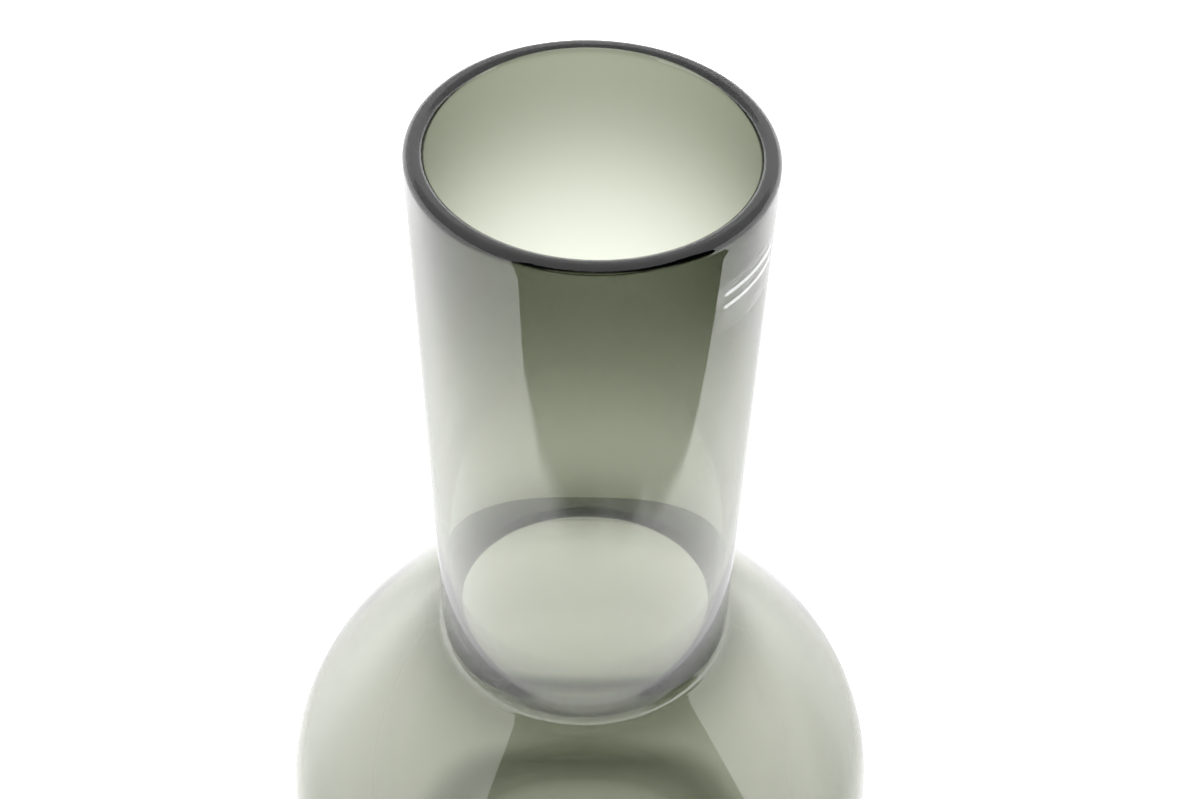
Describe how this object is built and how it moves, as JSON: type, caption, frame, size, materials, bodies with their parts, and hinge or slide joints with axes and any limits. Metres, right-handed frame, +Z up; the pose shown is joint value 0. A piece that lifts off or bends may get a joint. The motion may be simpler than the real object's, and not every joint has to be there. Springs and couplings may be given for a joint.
{
  "type": "glass carboy",
  "caption": "Mouth-blown smoked-glass carboy bottle with a wide straight open neck, sloping shoulder, rounded body and a clear label on the neck.",
  "frame": {"origin": "centre of the resting face, at the bottom of the bounding box", "axes": "+Z up along the axis of the bottle through the open neck; -Y is the front; the label sits on the neck from 40 to 96 degrees from the front towards +X"},
  "size_m": [0.202, 0.202, 0.36],
  "materials": {
    "smoked_glass": "fire-polished smoky grey-green glass, tinted through its thickness",
    "clear_label": "clear glossy self-adhesive film with plain white printed marks"
  },
  "bodies": {
    "root": {"glass_vessel": "smoked_glass", "label_film": "clear_label"}
  },
  "joints": []
}
